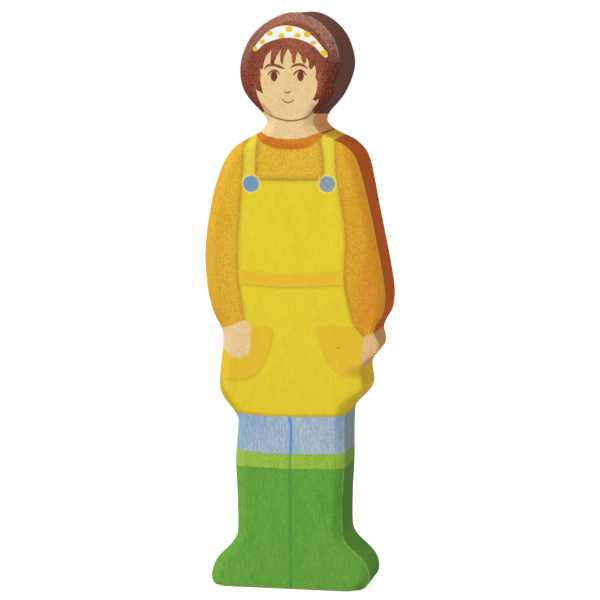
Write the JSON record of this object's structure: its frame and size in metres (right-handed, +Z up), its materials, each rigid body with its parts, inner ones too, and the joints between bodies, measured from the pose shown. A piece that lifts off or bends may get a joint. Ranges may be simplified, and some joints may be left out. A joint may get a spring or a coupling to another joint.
{
  "type": "wooden toy figure",
  "caption": "Flat free-standing wooden play figure: a sawn and sanded board painted as a standing person in a yellow apron dress, orange sweater, jeans and green boots",
  "frame": {"origin": "on the floor, under the middle of the board", "axes": "+Z up the figure, +X to the right in the front view, front faces -Y"},
  "size_m": [0.0406, 0.018, 0.1285],
  "materials": {
    "bare_wood": "sanded bare wood",
    "boot_green": "brushed stain on wood, satin",
    "cuff_green": "brushed stain on wood, satin",
    "denim_blue": "thin brushed stain on wood, grain showing",
    "apron_yellow": "brushed stain on wood, satin",
    "mustard": "second coat of stain, satin",
    "sweater_orange": "brushed stain on wood, pores showing",
    "collar_orange": "second tone of stain, satin",
    "skin": "thin stain on wood, satin",
    "hair_brown": "brushed stain on wood, satin",
    "band_white": "opaque paint, satin",
    "dot_yellow": "opaque paint, satin",
    "button_blue": "opaque paint, mottled",
    "line_brown": "fine brush line",
    "seam_blue": "fine brush line",
    "seam_green": "fine brush line"
  },
  "bodies": {
    "root": {"wood_blank": "bare_wood", "boots_paint": "boot_green", "boot_cuff_paint": "cuff_green", "jeans_paint": "denim_blue", "hair_paint": "hair_brown", "face_and_neck_paint": "skin", "collar_paint": "collar_orange", "hand_left_paint": "skin", "hand_right_paint": "skin", "sleeve_left_paint": "sweater_orange", "sleeve_right_paint": "sweater_orange", "chest_paint": "sweater_orange", "back_paint": "sweater_orange", "apron_paint": "apron_yellow", "waistband_front_paint": "mustard", "waistband_back_paint": "mustard", "pocket_left_paint": "mustard", "pocket_right_paint": "mustard", "button_left_paint": "button_blue", "button_right_paint": "button_blue", "headband_paint": "band_white", "jeans_seam_paint": "seam_blue", "boot_seam_paint": "seam_green", "pupil_left_paint": "line_brown", "lid_left_paint": "line_brown", "brow_left_paint": "line_brown", "pupil_right_paint": "line_brown", "lid_right_paint": "line_brown", "brow_right_paint": "line_brown", "nose_paint": "line_brown", "mouth_paint": "line_brown", "chin_line_paint": "line_brown", "headband_dot_1_paint": "dot_yellow", "headband_dot_2_paint": "dot_yellow", "headband_dot_3_paint": "dot_yellow", "headband_dot_4_paint": "dot_yellow", "headband_dot_5_paint": "dot_yellow", "headband_dot_6_paint": "dot_yellow", "headband_dot_7_paint": "dot_yellow", "headband_dot_8_paint": "dot_yellow", "headband_dot_9_paint": "dot_yellow"}
  },
  "joints": []
}
